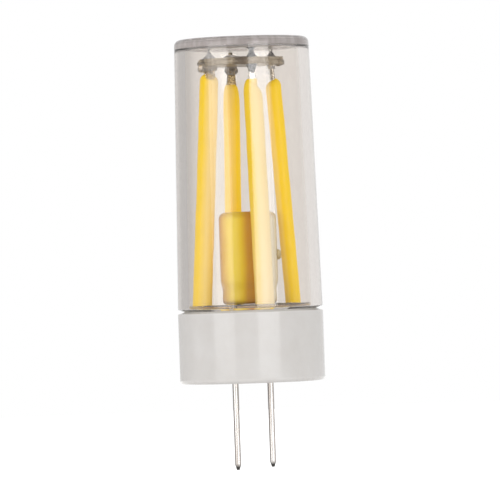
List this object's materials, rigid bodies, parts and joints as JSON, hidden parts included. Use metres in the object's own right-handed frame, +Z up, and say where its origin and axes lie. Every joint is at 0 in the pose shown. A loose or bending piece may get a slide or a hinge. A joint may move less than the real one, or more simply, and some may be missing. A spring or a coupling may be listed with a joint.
{
  "type": "two-pin led capsule lamp",
  "caption": "Small clear capsule lamp with leaning yellow filament sticks round an upright capacitor, on a white round base with straight contact pins.",
  "frame": {"origin": "centre of the base's underside, midway between the contact pins", "axes": "+Z up the lamp's axis towards the envelope's top, the pins point along -Z and stand apart along X"},
  "size_m": [0.0166, 0.0166, 0.0492],
  "materials": {
    "envelope": "clear moulded plastic, glossy",
    "base": "satin white moulding",
    "pin": "bright plated",
    "board": "bare laminate",
    "phosphor": "yellow silicone, slightly glossy",
    "strip": "plated",
    "solder": "bright",
    "can": "satin",
    "sleeve": "shrunk film, glossy",
    "bung": "matt",
    "glue": "set drop",
    "chip": "moulded",
    "resistor": "glazed top"
  },
  "bodies": {
    "root": {"envelope": "envelope", "base_cup": "base", "driver_board": "board", "top_board": "board", "capacitor_can": "can", "capacitor_sleeve": "sleeve", "capacitor_bung": "bung", "glue_drop": "glue", "rectifier": "chip", "driver_chip": "chip", "sense_resistor": "resistor", "bleed_resistor": "resistor", "contact_pin_left": "pin", "pin_solder_left": "solder", "capacitor_lead_left": "pin", "lead_solder_left": "solder", "contact_pin_right": "pin", "pin_solder_right": "solder", "capacitor_lead_right": "pin", "lead_solder_right": "solder", "filament_strip_1": "strip", "filament_coat_1": "phosphor", "top_solder_1": "solder", "bottom_solder_1": "solder", "filament_strip_2": "strip", "filament_coat_2": "phosphor", "top_solder_2": "solder", "bottom_solder_2": "solder", "filament_strip_3": "strip", "filament_coat_3": "phosphor", "top_solder_3": "solder", "bottom_solder_3": "solder", "filament_strip_4": "strip", "filament_coat_4": "phosphor", "top_solder_4": "solder", "bottom_solder_4": "solder"}
  },
  "joints": []
}
